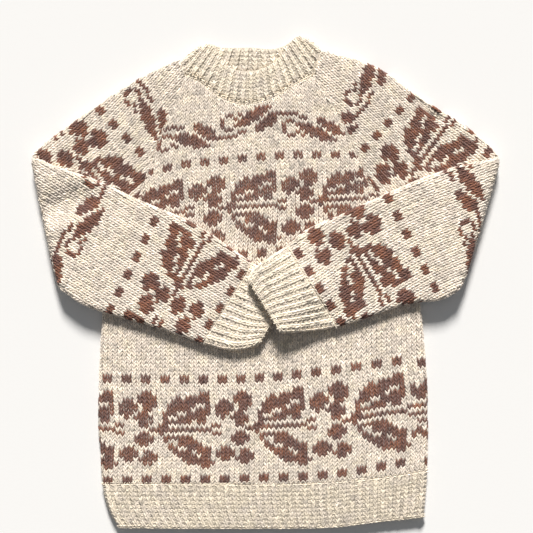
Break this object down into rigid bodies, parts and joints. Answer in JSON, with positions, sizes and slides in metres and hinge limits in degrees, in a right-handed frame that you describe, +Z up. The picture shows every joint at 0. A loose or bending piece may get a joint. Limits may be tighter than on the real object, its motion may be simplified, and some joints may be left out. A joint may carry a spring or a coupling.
{
  "type": "hand-knitted raglan pullover sweater",
  "caption": "Bulky raglan pullover with ribbed hem, cuffs and doubled collar, laid flat with both sleeves folded over the front.",
  "frame": {"origin": "centre of the outline seen from above, on the surface that the pullover lies on", "axes": "+X to the viewer's right across the body, +Y from the hem to the neck, +Z up off the surface, with the front facing up"},
  "size_m": [0.7046, 0.7396, 0.0366],
  "materials": {
    "patterned_wool": "matt cream wool with brown stranded bands",
    "ribbed_wool": "matt warm cream wool in one by one rib"
  },
  "bodies": {
    "root": {"body_back": "patterned_wool", "body_front": "patterned_wool", "sleeve_left": "patterned_wool", "sleeve_right": "patterned_wool", "hem_back": "ribbed_wool", "hem_front": "ribbed_wool", "cuff_left": "ribbed_wool", "cuff_right": "ribbed_wool", "collar": "ribbed_wool"}
  },
  "joints": []
}
